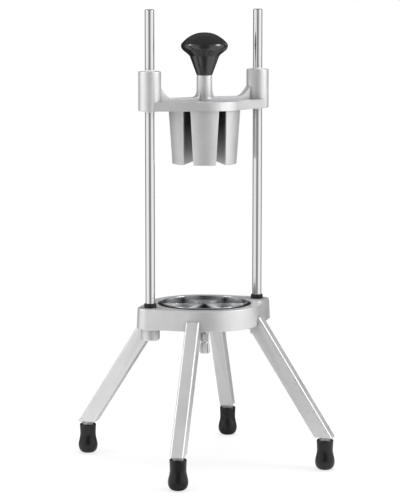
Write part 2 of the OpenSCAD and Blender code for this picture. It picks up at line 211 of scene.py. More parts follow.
def plate(name: str, outline: Sequence[Vector], rise: Vector, draft: float = 0.0) -> Object:
    """Fills an outline and extrudes it, drawn in by a draft on the way.

    Args:
        name: name of the new object.
        outline: the corners in millimetres, in order round the face.
        rise: the extrusion in millimetres.
        draft: how far the far face is inset, in millimetres.

    Returns:
        The solid, at the frame's origin.
    """
    obj = chain(name, outline)
    bpy.ops.mesh.edge_face_add()
    if draft:
        bpy.ops.mesh.inset(thickness=draft * MM, use_even_offset=True)
        bpy.ops.transform.translate(value=rise * MM)
        bpy.ops.mesh.select_all(action="DESELECT")
        bpy.ops.mesh.select_mode(type="EDGE")
        bpy.ops.mesh.select_non_manifold()
        bpy.ops.mesh.edge_face_add()
    else:
        extrude(rise)
    tidy_mesh()
    return obj


def slice_off(obj: Object, point: Vector, normal: Vector) -> None:
    """Cuts away what lies behind a plane and closes the cut.

    Args:
        obj: the solid that is cut.
        point: a point of the plane in millimetres.
        normal: the plane's normal, on the side that is kept.
    """
    edit(obj)
    bpy.ops.mesh.bisect(
        plane_co=point * MM, plane_no=normal.normalized(), use_fill=True, clear_inner=True
    )
    bpy.ops.object.mode_set(mode="OBJECT")


def modify(obj: Object, kind: str, **settings: object) -> None:
    """Adds a modifier of a kind, with its settings, and applies it.

    Args:
        obj: the object.
        kind: type name of the modifier.
        settings: the modifier's own properties.
    """
    pick(obj)
    step = obj.modifiers.new(kind.lower(), kind)
    for key, value in settings.items():
        setattr(step, key, value)
    bpy.ops.object.modifier_apply(modifier=step.name)


def combine(obj: Object, tool: Object, op: Op) -> Object:
    """Joins a tool to a solid, or cuts it out, and deletes the tool.

    Args:
        obj: the solid that is kept.
        tool: the other solid.
        op: join or cut.

    Returns:
        The solid.
    """
    modify(obj, "BOOLEAN", operation=op.value, solver="EXACT", object=tool)
    bpy.data.objects.remove(tool)
    return obj


def gather(name: str, parts: Sequence[Object]) -> Object:
    """Makes one object of several.

    Args:
        name: name of the result.
        parts: the objects, the first of which is kept.

    Returns:
        The joined object.
    """
    deselect_all()
    for part in parts:
        part.select_set(True)
    bpy.context.view_layer.objects.active = parts[0]
    bpy.ops.object.join()
    parts[0].name = parts[0].data.name = name
    return parts[0]


def copy_of(obj: Object, name: str, turn: float = 0.0, shift: float = 0.0) -> Object:
    """Copies an object with its own mesh.

    Args:
        obj: the object.
        name: name of the copy.
        turn: degrees that the copy is turned about the vertical axis.
        shift: millimetres that it is moved along X.

    Returns:
        The copy, at the frame's origin.
    """
    new = obj.copy()
    new.data = obj.data.copy()
    new.name = new.data.name = name
    bpy.context.scene.collection.objects.link(new)
    new.rotation_mode = "XYZ"
    new.rotation_euler = (0.0, 0.0, math.radians(turn))
    new.location = (shift * MM, 0.0, 0.0)
    return settle(new)


def round_edges(obj: Object, width: float, segments: int = 3, angle: float = 32.0) -> None:
    """Rounds every edge sharper than an angle.

    Args:
        obj: the solid.
        width: width of the rounding in millimetres.
        segments: steps across the rounding.
        angle: least angle in degrees between two faces.
    """
    limit = {"limit_method": "ANGLE", "angle_limit": math.radians(angle)}
    modify(obj, "BEVEL", width=width * MM, segments=segments, miter_outer="MITER_ARC", **limit)


def smooth(obj: Object, angle: float = 40.0) -> Object:
    """Shades an object smooth up to an angle, with flat faces kept flat.

    Args:
        obj: the object.
        angle: least angle in degrees of an edge that stays sharp.

    Returns:
        The same object.
    """
    pick(obj)
    bpy.ops.object.shade_smooth_by_angle(angle=math.radians(angle))
    modify(obj, "WEIGHTED_NORMAL", keep_sharp=True)
    return obj


def arc(centre: Point, r: float, start: float, end: float, steps: int) -> list[Point]:
    """Points along an arc, from one angle in degrees to another, ends included."""
    angles = [math.radians(start + (end - start) * i / steps) for i in range(steps + 1)]
    return [(centre[0] + r * math.cos(a), centre[1] + r * math.sin(a)) for a in angles]


def lobed(body_r: float, lobe_r: float, reach: float, z: float, steps: int = 24) -> list[Vector]:
    """Outline of a round body with a round lobe at each side.

    Args:
        body_r: radius of the body in millimetres.
        lobe_r: radius of each lobe.
        reach: distance from the body's centre to a lobe's centre.
        z: height of the outline.
        steps: steps along each arc.

    Returns:
        The corners in order, without a repeated last one.
    """
    lean = math.degrees(math.acos((body_r - lobe_r) / reach))
    flat = (
        arc((reach, 0.0), lobe_r, -lean, lean, steps)
        + arc((0.0, 0.0), body_r, lean, 180.0 - lean, steps)
        + arc((-reach, 0.0), lobe_r, 180.0 - lean, 180.0 + lean, steps)
        + arc((0.0, 0.0), body_r, 180.0 + lean, 360.0 - lean, steps)
    )
    return [Vector((x, y, z)) for x, y in flat]


def polar(r: float, degrees: float) -> Point:
    """The x and y of a point at a distance and an angle from the axis."""
    return r * math.cos(math.radians(degrees)), r * math.sin(math.radians(degrees))


def drum(r: float, foot: float, top: float) -> Profile:
    """Profile of a plain cylinder."""
    return [(0.0, foot), (r, foot), (r, top), (0.0, top)]


def shifted(r: float, z: float, points: Profile) -> list[Point]:
    """Points of a profile that are given from a corner at a radius and a height."""
    return [(r + u, z + v) for u, v in points]


def between(p0: float, p1: float, p2: float, p3: float, t: float) -> float:
    """Value at t on a smooth curve from p1 to p2 that heeds their neighbours.

    Args:
        p0: value before the stretch.
        p1: value at its start.
        p2: value at its end.
        p3: value after it.
        t: how far along the stretch, from 0 to 1.

    Returns:
        The value at t.
    """
    square = (2 * p0 - 5 * p1 + 4 * p2 - p3) * t * t
    cube = (3 * p1 - p0 - 3 * p2 + p3) * t**3
    return 0.5 * (2 * p1 + (p2 - p0) * t + square + cube)


def through(points: Profile, steps: int) -> list[Point]:
    """A smooth curve through the points of a profile, ends included.

    Args:
        points: (radius, height) pairs.
        steps: steps between two neighbouring points.

    Returns:
        The points of the curve.
    """
    padded = [points[0], *points, points[-1]]
    curve = [points[0]]
    for near in zip(padded, padded[1:], padded[2:], padded[3:]):
        for i in range(1, steps + 1):
            curve.append(tuple(between(*values, i / steps) for values in zip(*near)))
    return curve


# --- Shader groups ---


class Wiring:
    """Adds nodes to a tree and links them."""

    def __init__(self, tree: Tree) -> None:
        """Starts work on a tree."""
        self.tree = tree

    def node(self, kind: str, inputs: Optional[dict] = None, **settings: object) -> Node:
        """Adds a node.

        Args:
            kind: the node's type name without its ShaderNode part.
            inputs: socket names to values, or to sockets that are linked.
            settings: the node's own properties.

        Returns:
            The node.
        """
        new = self.tree.nodes.new(kind if kind.startswith("Node") else "ShaderNode" + kind)
        for key, value in settings.items():
            setattr(new, key, value)
        for key, value in (inputs or {}).items():
            self.put(value, new.inputs[key])
        return new

    def put(self, value: object, socket: Socket) -> None:
        """Links a socket into an input, or sets the input's value.

        Args:
            value: a socket, or a value.
            socket: the input.
        """
        if isinstance(value, Socket):
            self.tree.links.new(value, socket)
        else:
            socket.default_value = value

    def maths(self, operation: str, a: object, b: object = 0.0, clamp: bool = False) -> Socket:
        """Adds a Math node and returns its output."""
        return self.node("Math", {0: a, 1: b}, operation=operation, use_clamp=clamp).outputs[0]

    def times(self, a: object, b: object) -> Socket:
        """Multiplies two values and returns the result."""
        return self.maths("MULTIPLY", a, b)

    def plus(self, a: object, b: object, clamp: bool = False) -> Socket:
        """Adds two values and returns the result."""
        return self.maths("ADD", a, b, clamp)

    def span(
        self, value: object, low: float, high: float, to_low: float = 0.0, to_high: float = 1.0
    ) -> Socket:
        """Maps a value from one range to another, with ends held."""
        ends = {"From Min": low, "From Max": high, "To Min": to_low, "To Max": to_high}
        return self.node("MapRange", {"Value": value, **ends}).outputs["Result"]

    def blend(self, factor: object, a: object, b: object) -> Socket:
        """Mixes two colours and returns the result."""
        return self.node("Mix", {0: factor, 6: a, 7: b}, data_type="RGBA").outputs[2]

    def shader(self, kind: str, inputs: dict) -> Socket:
        """Adds a shader and returns its output."""
        return self.node(kind, inputs).outputs[0]

    def layer(self, amount: Socket, under: Socket, over: Socket) -> Socket:
        """Mixes one shader over another and returns the result."""
        return self.shader("MixShader", {0: amount, 1: under, 2: over})

    def vector(self, operation: str, inputs: dict, output: str = "Vector") -> Socket:
        """Adds a Vector Math node and returns one of its outputs."""
        return self.node("VectorMath", inputs, operation=operation).outputs[output]

    def place(self) -> Socket:
        """The place on the object."""
        return self.node("TexCoord").outputs["Object"]

    def parts(self, vector: Socket) -> Sequence[Socket]:
        """The X, Y and Z of a vector."""
        return self.node("SeparateXYZ", {"Vector": vector}).outputs

    def noise(self, place: Socket, scale: object, detail: float, rough: float = 0.5) -> Socket:
        """Adds a noise texture and returns its value."""
        inputs = {"Vector": place, "Scale": scale, "Detail": detail, "Roughness": rough}
        return self.node("TexNoise", inputs).outputs[0]


class SharedGroup(Wiring):
    """A shader group with number sockets."""

    def __init__(self, name: str, inputs: dict[str, float], outputs: Sequence[str]) -> None:
        """Makes the empty group.

        Args:
            name: name of the group.
            inputs: input names and their default values.
            outputs: output names.
        """
        super().__init__(bpy.data.node_groups.new(name, "ShaderNodeTree"))
        interface = self.tree.interface
        number = "NodeSocketFloat"
        for key, value in inputs.items():
            new = interface.new_socket(name=key, in_out="INPUT", socket_type=number)
            new.default_value = value
        for key in outputs:
            interface.new_socket(name=key, in_out="OUTPUT", socket_type=number)
        self.given = self.node("NodeGroupInput").outputs

    def give(self, **results: Socket) -> Tree:
        """Links the results to the group's outputs and returns the group."""
        self.node("NodeGroupOutput", results)
        return self.tree


def make_grain() -> Tree:
    """Fine grain of a cast or moulded skin: a height and a slow patchy mask.

    Returns:
        The group.
    """
    w = SharedGroup("grain", {"Fine": 1400.0, "Patch": 28.0}, ("Height", "Patches"))
    place = w.place()
    fine = w.noise(place, w.given["Fine"], 3.0, 0.6)
    pits = w.noise(place, w.times(w.given["Fine"], 0.35), 2.0)
    patch = w.noise(place, w.given["Patch"], 4.0, 0.55)
    height = w.plus(w.times(fine, 0.6), w.times(pits, 0.4))
    return w.give(Height=height, Patches=w.span(patch, 0.32, 0.68))


def make_lines() -> Tree:
    """Straight polishing lines that run round or along a piece.

    Returns:
        The group.
    """
    w = SharedGroup("lines", {"Across": 900.0, "Along": 12.0}, ("Height", "Streaks"))
    place = w.parts(w.place())
    scales = (w.given["Along"], w.given["Along"], w.given["Across"])
    stretched = {i: w.times(place[i], scale) for i, scale in enumerate(scales)}
    noise = w.noise(w.node("CombineXYZ", stretched).outputs[0], 1.0, 3.0, 0.65)
    return w.give(Height=noise, Streaks=w.span(noise, 0.35, 0.65))


def make_wear_and_shade() -> Tree:
    """Masks of handled edges, by how pointed the skin is, and of painted shade in closed-in
    corners, from ambient occlusion.

    Returns:
        The group.
    """
    w = SharedGroup("wear_and_shade", {"Width": 0.06, "Reach": 14.0 * MM}, ("Edges", "Corners"))
    point = w.node("NewGeometry").outputs["Pointiness"]
    edge = w.maths("DIVIDE", w.maths("SUBTRACT", point, 0.5), w.given["Width"], clamp=True)
    # painted shade: ambient occlusion gives the mask of closed-in corners that the finishes darken
    open_sky = w.node("AmbientOcclusion", {"Distance": w.given["Reach"]}, samples=8)
    return w.give(Edges=edge, Corners=w.span(open_sky.outputs["AO"], 0.95, 0.45))


def make_touch() -> Tree:
    """Smudges and faint dust that change the gloss over a few centimetres.

    Returns:
        The group.
    """
    w = SharedGroup("touch", {"Scale": 45.0}, ("Smudge", "Specks"))
    place = w.place()
    inputs = {"Vector": place, "Scale": w.given["Scale"], "Detail": 5.0}
    slow = w.node("TexNoise", inputs | {"Roughness": 0.6, "Distortion": 0.6}).outputs[0]
    specks = w.node("TexVoronoi", {"Vector": place, "Scale": w.times(w.given["Scale"], 18.0)})
    dust = w.span(specks.outputs["Distance"], 0.12, 0.04)
    return w.give(Smudge=w.span(slow, 0.38, 0.66), Specks=dust)


class Groups:
    """The shader groups that the finishes share."""

    def __init__(self) -> None:
        """Builds each group once."""
        self.grain = make_grain()
        self.lines = make_lines()
        self.wear_and_shade = make_wear_and_shade()
        self.touch = make_touch()


# --- Finishes ---


def rgba(colour: Colour) -> tuple[float, float, float, float]:
    """A colour with full alpha."""
    return (*colour, 1.0)


class Paintwork(Wiring):
    """The tree of a new material, with its Principled shader at hand."""

    def __init__(self, name: str) -> None:
        """Starts the material.

        Args:
            name: name of the material.
        """
        self.material = bpy.data.materials.new(name)
        self.material.use_nodes = True
        super().__init__(self.material.node_tree)
        self.shader = self.tree.nodes["Principled BSDF"]

    def group(self, tree: Tree, **inputs: float) -> Sequence[Socket]:
        """Places a shared group with its own values and returns its outputs."""
        return self.node("Group", inputs, node_tree=tree).outputs

    def cover(self, colour: Socket, over: Colour, mask: Socket, share: float = 1.0) -> Socket:
        """Lays a colour over another, as far as a mask and its share allow."""
        return self.blend(self.times(mask, share), colour, rgba(over))

    def relief(self, height: Socket, strength: float, depth: float) -> Socket:
        """Turns a height into a bumped normal, with the depth in millimetres."""
        inputs = {"Height": height, "Strength": strength, "Distance": depth * MM}
        return self.node("Bump", inputs).outputs["Normal"]

    def feed(self, **sockets: object) -> Material:
        """Sets or links the shader's sockets, with _ for a space in a name.

        Args:
            sockets: socket names to values, or to sockets that are linked.

        Returns:
            The finished material.
        """
        for key, value in sockets.items():
            self.put(value, self.shader.inputs[key.replace("_", " ")])
        return self.material


@dataclass(frozen=True)
class CastFinish:
    """Tumbled aluminium casting: fine grain, faint patches, rubbed edges with a painted highlight,
    and painted shade in closed-in corners.
    """

    name: str = "cast_aluminium"
    light: Colour = (0.73, 0.73, 0.735)
    dark: Colour = (0.67, 0.67, 0.68)
    # pale colour of handled edges: partly rubbed metal, partly a painted highlight
    edge: Colour = (0.90, 0.90, 0.90)
    # painted shade: dark colour laid into the casting's closed-in corners
    shade: Colour = (0.36, 0.36, 0.37)
    corner_shade_share: float = 0.85  # share of the shade in closed-in corners
    # rubbed: share of the pale edge colour, which is partly rubbed metal and partly a painted
    # highlight
    rubbed: float = 0.5  # share of the edge's colour on handled edges
    polish: float = 0.04  # how much smoother those edges are
    metal: float = 0.7
    roughness: float = 0.48
    relief: float = 0.3

    def build(self, groups: Groups) -> Material:
        """Builds the material from the shared groups.

        Args:
            groups: the shared shader groups.

        Returns:
            The material.
        """
        p = Paintwork(self.name)
        grain = p.group(groups.grain, Fine=1500.0, Patch=30.0)
        wear_and_shade = p.group(groups.wear_and_shade, Width=0.08)
        touch = p.group(groups.touch, Scale=40.0)
        colour = p.blend(grain["Patches"], rgba(self.dark), rgba(self.light))
        # painted shade laid into closed-in corners
        colour = p.cover(colour, self.shade, wear_and_shade["Corners"], self.corner_shade_share)
        # pale edges: partly rubbed metal, partly a painted highlight
        colour = p.cover(colour, self.edge, wear_and_shade["Edges"], self.rubbed)
        low, high = self.roughness - 0.04, self.roughness + 0.06
        rough = p.span(touch["Smudge"], 0.0, 1.0, low, high)
        return p.feed(
            Base_Color=self.shade_slots(p, colour),
            Metallic=self.metal,
            Roughness=p.maths("SUBTRACT", rough, p.times(wear_and_shade["Edges"], self.polish)),
            Normal=p.relief(grain["Height"], self.relief, depth=0.12),
        )

    def shade_slots(self, p: Paintwork, colour: Socket) -> Socket:
        """Leaves the colour as it is: this casting has no slots to paint shade into."""
        return colour


@dataclass(frozen=True)
class BlockFinish(CastFinish):
    """The casting's finish with painted shade on the slot walls between the fingers."""

    name: str = "block_aluminium"
    corner_shade_share: float = 0.2
    # painted shade: near-black colour laid on the slot walls
    slot_shade: Colour = (0.14, 0.14, 0.145)
    root: float = PLATE_FOOT
    tip: float = PLATE_FOOT - FINGER_LENGTH
    root_r: float = FINGER_TOP_R
    tip_r: float = FINGER_TIP_R

    def shade_slots(self, p: Paintwork, colour: Socket) -> Socket:
        """Paints shade on the slot walls, by depth behind the fingers' outer face and by height.

        Args:
            p: the material's paintwork.
            colour: the casting's colour.

        Returns:
            The colour with painted shade on the slots' walls.
        """
        place = p.parts(p.place())
        height = place["Z"]
        squares = [p.maths("POWER", place[axis], 2.0) for axis in "XY"]
        reach = p.maths("SQRT", p.plus(*squares))
        outer = p.span(height, self.tip * MM, self.root * MM, self.tip_r * MM, self.root_r * MM)
        inside = p.span(p.maths("SUBTRACT", outer, reach), 0.9 * MM, 3.0 * MM)
        rise = p.span(height, (self.tip + 1.0) * MM, (self.root - 12.0) * MM, 0.05, 1.0)
        # painted shade on the slot walls, darker towards the fingers' root
        return p.blend(p.times(inside, rise), colour, rgba(self.slot_shade))


@dataclass(frozen=True)
class SteelFinish:
    """Bare or plated steel with polishing lines, faint handling marks and painted shade in
    closed-in corners.
    """

    name: str
    light: Colour
    dark: Colour
    roughness: float
    lines: float = 0.1  # strength of the relief
    across: float = 900.0
    along: float = 12.0
    streaks: float = 0.35  # how much rougher a streak is, as a share
    smudge: float = 0.05  # how much rougher a smudge is

    def build(self, groups: Groups) -> Material:
        """Builds the material from the shared groups.

        Args:
            groups: the shared shader groups.

        Returns:
            The material.
        """
        p = Paintwork(self.name)
        lines = p.group(groups.lines, Across=self.across, Along=self.along)
        touch = p.group(groups.touch, Scale=60.0)
        wear_and_shade = p.group(groups.wear_and_shade, Width=0.1)
        # painted shade: darker colour laid into closed-in corners
        corner_shade = tuple(0.6 * c for c in self.dark)
        colour = p.blend(lines["Streaks"], rgba(self.dark), rgba(self.light))
        rough = p.plus(self.roughness, p.times(lines["Streaks"], self.streaks * self.roughness))
        return p.feed(
            Base_Color=p.cover(colour, corner_shade, wear_and_shade["Corners"], 0.5),
            Metallic=1.0,
            Roughness=p.plus(rough, p.times(touch["Smudge"], self.smudge)),
            Normal=p.relief(lines["Height"], self.lines, depth=0.05),
        )


@dataclass(frozen=True)
class BladeFinish:
    """Brushed stainless sheet with a brighter ground bevel along its cutting edge, and painted
    shade in closed-in corners such as where the blades cross.
    """

    name: str = "blade_steel"
    light: Colour = (0.80, 0.81, 0.82)
    dark: Colour = (0.62, 0.63, 0.64)
    ground: Colour = (0.92, 0.93, 0.94)
    # painted shade: dark colour laid into closed-in corners
    shade: Colour = (0.24, 0.24, 0.25)
    bevel_foot: float = 163.6
    lines: float = 0.18  # strength of the relief
    rough_sheet: float = 0.30
    rough_bevel: float = 0.16

    def build(self, groups: Groups) -> Material:
        """Builds the material from the shared groups.

        Args:
            groups: the shared shader groups.

        Returns:
            The material.
        """
        p = Paintwork(self.name)
        lines = p.group(groups.lines, Across=1600.0, Along=25.0)
        touch = p.group(groups.touch, Scale=80.0)
        wear_and_shade = p.group(groups.wear_and_shade, Width=0.1)
        height = p.parts(p.place())["Z"]
        bevel = p.span(height, self.bevel_foot * MM, (self.bevel_foot + 0.15) * MM)
        colour = p.blend(lines["Streaks"], rgba(self.dark), rgba(self.light))
        colour = p.cover(colour, self.ground, bevel)
        rough = p.span(bevel, 0.0, 1.0, self.rough_sheet, self.rough_bevel)
        return p.feed(
            # painted shade in closed-in corners
            Base_Color=p.cover(colour, self.shade, wear_and_shade["Corners"]),
            Metallic=1.0,
            Roughness=p.plus(rough, p.times(touch["Smudge"], 0.06)),
            Normal=p.relief(lines["Height"], self.lines, depth=0.04),
        )


@dataclass(frozen=True)
class PolymerFinish:
    """Moulded plastic or rubber: a fine skin, faint smudges, dust and rubbed edges."""

    name: str
    base: Colour
    worn: Colour
    roughness: float
    relief: float = 0.2
    fine: float = 1800.0
    dust: float = 0.15
    sheen: float = 0.5

    def build(self, groups: Groups) -> Material:
        """Builds the material from the shared groups.

        Args:
            groups: the shared shader groups.

        Returns:
            The material.
        """
        p = Paintwork(self.name)
        grain = p.group(groups.grain, Fine=self.fine, Patch=60.0)
        wear_and_shade = p.group(groups.wear_and_shade, Width=0.08)
        touch = p.group(groups.touch, Scale=70.0)
        worn = p.times(wear_and_shade["Edges"], 0.5)
        worn = p.plus(worn, p.times(grain["Patches"], 0.12), clamp=True)
        worn = p.plus(worn, p.times(touch["Specks"], self.dust), clamp=True)
        low, high = self.roughness * 0.9, self.roughness * 1.25
        return p.feed(
            Base_Color=p.blend(worn, rgba(self.base), rgba(self.worn)),
            Roughness=p.span(touch["Smudge"], 0.0, 1.0, low, high),
            Normal=p.relief(grain["Height"], self.relief, depth=0.1),
            Specular_IOR_Level=self.sheen,
        )


RECIPES = (
    CastFinish(),
    BlockFinish(),
    SteelFinish(
        "rod_steel", (0.84, 0.84, 0.85), (0.82, 0.82, 0.83), 0.15,
        lines=0.004, across=3200.0, along=20.0, streaks=0.08, smudge=0.015,
    ),
    SteelFinish("screw_steel", (0.66, 0.66, 0.67), (0.52, 0.52, 0.53), 0.26),
    SteelFinish("nut_chrome", (0.80, 0.80, 0.81), (0.74, 0.74, 0.75), 0.06, lines=0.02),
    SteelFinish("insert_brass", (0.84, 0.66, 0.33), (0.70, 0.52, 0.24), 0.25),
    SteelFinish(
        "stub_steel", (0.84, 0.84, 0.85), (0.74, 0.74, 0.75), 0.18,
        lines=0.2, across=2400.0, along=30.0,
    ),
    BladeFinish(),
    PolymerFinish(
        "foot_rubber", (0.003, 0.003, 0.0033), (0.016, 0.016, 0.016), 0.26,
        relief=0.12, fine=2200.0, dust=0.05, sheen=0.4,
    ),
    PolymerFinish(
        "bumper_rubber", (0.006, 0.006, 0.0065), (0.03, 0.03, 0.03), 0.5,
        relief=0.3, sheen=0.3,
    ),
    PolymerFinish("bushing_nylon", (0.86, 0.86, 0.83), (0.74, 0.74, 0.70), 0.45, dust=0.05),
    PolymerFinish(
        "knob_plastic", (0.002, 0.002, 0.0022), (0.012, 0.012, 0.0125), 0.2,
        relief=0.02, fine=900.0, dust=0.04, sheen=1.0,
    ),
)


class Finishes:
    """Every material of the part, by its slot's name."""

    def __init__(self) -> None:
        """Builds the shared groups and then each finish."""
        groups = Groups()
        self.by_slot = {recipe.name: recipe.build(groups) for recipe in RECIPES}

    def dress(self, obj: Object, *slots: str) -> None:
        """Gives an object one material, or several that its faces already name by number.

        Args:
            obj: the object.
            slots: names of the materials, the main one first.
        """
        obj.data.materials.clear()
        for slot in slots:
            obj.data.materials.append(self.by_slot[slot])


@dataclass
class Fitter:
    """Puts finished pieces on the CAD model's bodies."""

    finishes: Finishes

    def fit(self, obj: Object, body: Body, *slots: str) -> None:
        """Dresses a piece and lets it stand for the CAD node it is named after.

        Args:
            obj: the finished piece, whose name adds _skin to the node's.
            body: the body it moves with.
            slots: its material slots, the main one first.
        """
        nodes = [obj.name.removesuffix("_skin")]
        self.finishes.dress(obj, *slots)
        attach(obj, body.value)
        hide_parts(*nodes)
        LOG.info("%s: %d faces, rides on %s", obj.name, len(obj.data.polygons), body.value)

    def fit_corners(self, model: Object, kind: str, *slots: str) -> None:
        """Fits a copy of a leg or foot at each corner of the base and deletes the model.

        Args:
            model: the piece along +X.
            kind: first part of the CAD nodes' names.
            slots: its material slots, the main one first.
        """
        for corner, turn in CORNERS.items():
            self.fit(copy_of(model, f"{kind}_{corner}_skin", turn), Body.BASE, *slots)
        bpy.data.objects.remove(model)

    def keep(self, *nodes: str) -> None:
        """Gives CAD nodes that are shown as they are the finish that the record names.

        Args:
            nodes: names of the CAD nodes.
        """
        slots = {part["node"]: part["material_slot"] for part in frame["record"]["subparts"]}
        for name in nodes:
            self.finishes.dress(frame["nodes"][name], slots[name])
            LOG.info("%s: CAD node in %s", name, slots[name])


# --- Sub-assemblies, with sizes in millimetres and degrees ---


@dataclass
class RingCasting:
    """The ring with its well, two ears and the rod sockets below them."""

    foot: float = RING_FOOT
    height: float = 21.0
    body_r: float = 60.0
    ear_r: float = 14.0
    reach: float = ROD_REACH
    draft: float = 1.1
    edge_round: float = 0.9
    well_r: float = 48.25
    well_foot: float = WELL_FOOT
    throat_r: float = RING_BORE_R
    socket_r: float = 9.5
    socket_foot: float = 133.5
    recess_r: float = 4.4

    def build(self, fitter: Fitter) -> None:
        """Builds the casting and fits it to the base.

        Args:
            fitter: what dresses the pieces and puts them on their bodies.
        """
        outline = lobed(self.body_r, self.ear_r, self.reach, self.foot)
        ring = plate("base_casting_skin", outline, up(self.height), self.draft)
        low, high = self.foot - 1, self.foot + self.height + 1
        well = [(0.0, low), (self.throat_r, low), (self.throat_r, self.well_foot)]
        well += [(self.well_r, self.well_foot), (self.well_r, high), (0.0, high)]
        combine(ring, lathe("well", well, steps=128), Op.CUT)
        round_edges(ring, self.edge_round, 4)
        for side in (-1, 1):
            combine(ring, self.socket(side), Op.JOIN)
        fitter.fit(smooth(ring), Body.BASE, "cast_aluminium")

    def socket(self, side: int) -> Object:
        """The round socket under one ear, with its screw recess and a fillet at the ear.

        Args:
            side: -1 for the left ear and 1 for the right.

        Returns:
            The socket, ready to be joined.
        """
        hole, z, top = self.recess_r, self.socket_foot, self.foot + 3
        rim = [(-2.2, 0.0), (-1.1, 0.3), (-0.3, 1.1), (0.0, 2.3)]
        fillet = [(0.15, -2.0), (0.6, -0.8), (1.6, -0.1), (1.6, 3)]
        profile = [(hole, z + 3.4), (hole, z + 0.4), (hole + 0.4, z)]
        profile += shifted(self.socket_r, z, rim) + shifted(self.socket_r, self.foot, fillet)
        profile += [(0.0, top), (0.0, z + 3.4), (hole, z + 3.4)]
        return lathe("socket", profile, at=(side * self.reach, 0.0), steps=64)


@dataclass
class Legs:
    """Four splayed bars with a round stub at the foot of each."""

    reach: float = LEG_REACH
    lean: float = 32.5
    width: float = 14.0
    depth: float = 16.0
    outer_round: float = 2.2
    inner_round: float = 0.6
    sweep: float = 190.0
    foot: float = LEG_FOOT
    foot_round: float = 1.6
    top: float = 156.4
    top_round: float = 1.3
    ring_r: float = 58.4
    stub_r: float = 5.8
    stub_length: float = 16.0
    screw_reach: float = 54.125
    recess_r: float = 4.45
    recess_foot: float = 100.0
    recess_top: float = 141.0

    def leant(self, way: Vector) -> Vector:
        """Turns a way on an upright bar into the same way on the leaning one."""
        return Matrix.Rotation(math.radians(-self.lean), 3, "Y") @ way

    def section(self) -> list[Vector]:
        """Corners of the bar's section, drawn where the bar is swept from.

        Returns:
            The corners, in order.
        """
        half, big, small = self.width / 2, self.outer_round, self.inner_round
        out, back = self.depth / 2 - big, -self.depth / 2 + small
        flat = arc((out, half - big), big, 0, 90, 6)
        flat += arc((back, half - small), small, 90, 180, 3)
        flat += arc((back, -half + small), small, 180, 270, 3)
        flat += arc((out, -half + big), big, 270, 360, 6)
        start = Vector((self.reach, 0.0, self.foot)) - self.leant(up(self.depth))
        return [start + self.leant(Vector((u, v, 0.0))) for u, v in flat]

    def bar(self) -> Object:
        """The bar along +X, level at both ends, cleared from the ring and bored.

        Returns:
            The bar, shaded.
        """
        leg = plate("leg_model", self.section(), self.leant(up(self.sweep)))
        slice_off(leg, up(self.foot), up(1.0))
        slice_off(leg, up(self.top), up(-1.0))
        self.round_end(leg, self.foot, self.foot_round)
        self.round_end(leg, self.top, self.top_round)
        wall = drum(self.ring_r, RING_FOOT - 0.1, RING_FOOT + 24.0)
        combine(leg, lathe("ring_wall", wall), Op.CUT)
        recess = drum(self.recess_r, self.recess_foot, self.recess_top)
        combine(leg, lathe("recess", recess, at=(self.screw_reach, 0.0), steps=40), Op.CUT)
        return smooth(leg, 36.0)

    def round_end(self, leg: Object, height: float, width: float) -> None:
        """Rounds the edge round one level end of the bar.

        Args:
            leg: the bar.
            height: height of that end in millimetres.
            width: width of the rounding.
        """
        edit(leg)
        bpy.ops.mesh.select_all(action="DESELECT")
        bpy.ops.mesh.select_mode(type="EDGE")
        mesh = bmesh.from_edit_mesh(leg.data)
        for edge in mesh.edges:
            if all(abs(v.co.z - height * MM) < 0.01 * MM for v in edge.verts):
                edge.select_set(True)
        bmesh.update_edit_mesh(leg.data)
        bpy.ops.mesh.bevel(offset=width * MM, segments=4, affect="EDGES")
        bpy.ops.object.mode_set(mode="OBJECT")

    def stub(self) -> Object:
        """The turned stub between bar and rubber foot.

        Returns:
            The stub, shaded.
        """
        z, tip = self.foot, self.foot - self.stub_length
        profile = [(0.0, tip)] + shifted(self.stub_r, tip, [(-1.0, 0.0), (0.0, 1.0)])
        profile += shifted(self.stub_r, z, [(0.0, -1.4), (-0.4, -1.0), (-0.4, 2.0)])
        profile += [(0.0, z + 2.0)]
        return smooth(lathe("stub", profile, at=(self.reach, 0.0), steps=48))

    def mark_stub(self, leg: Object) -> None:
        """Gives the stub's faces the leg's second material.

        Args:
            leg: the joined bar and stub.
        """
        leg.data.materials.clear()
        for _ in range(2):
            leg.data.materials.append(None)
        axis = Vector((self.reach, 0.0)) * MM
        for face in leg.data.polygons:
            off = (Vector(face.center[:2]) - axis).length
            below = face.center.z < (self.foot - 0.01) * MM
            face.material_index = int(below and off < (self.stub_r + 0.1) * MM)

    def build(self, fitter: Fitter) -> None:
        """Builds one leg, copies it to the four corners and fits each to the base.

        Args:
            fitter: what dresses the pieces and puts them on their bodies.
        """
        stub = self.stub()
        leg = gather("leg_model", [self.bar(), stub])
        self.mark_stub(leg)
        fitter.fit_corners(leg, "leg", "cast_aluminium", "stub_steel")


@dataclass
class RubberFeet:
    """The four rubber feet: a rounded bulb that narrows to a waist."""

    reach: float = LEG_REACH
    height: float = 31.0
    bore_r: float = 5.9
    bore_foot: float = 18.0

    def profile(self) -> list[Point]:
        """Half the outline of a foot, from the flat it stands on to the stub's socket.

        Returns:
            The profile in radius and height.
        """
        bulb = [(3.5, 0.0), (5.9, 0.45), (8.2, 2.1), (9.6, 4.6), (10.2, 7.8), (9.9, 11.0)]
        waist = [(9.1, 14.5), (8.45, 18.0), (8.25, 21.0), (8.4, 25.0), (8.62, 29.9)]
        rim = [(8.5, self.height - 0.4), (8.1, self.height), (6.4, self.height)]
        bore = [(self.bore_r, self.height - 0.3), (self.bore_r, self.bore_foot)]
        outer = through(bulb + waist, 3)
        return [(0.0, 0.0), *outer, *rim, *bore, (0.0, self.bore_foot)]

    def build(self, fitter: Fitter) -> None:
        """Builds one foot, copies it to the four corners and fits each to the base."""
        foot = lathe("foot_model", self.profile(), at=(self.reach, 0.0), steps=72)
        fitter.fit_corners(smooth(foot, 50.0), "foot", "foot_rubber")


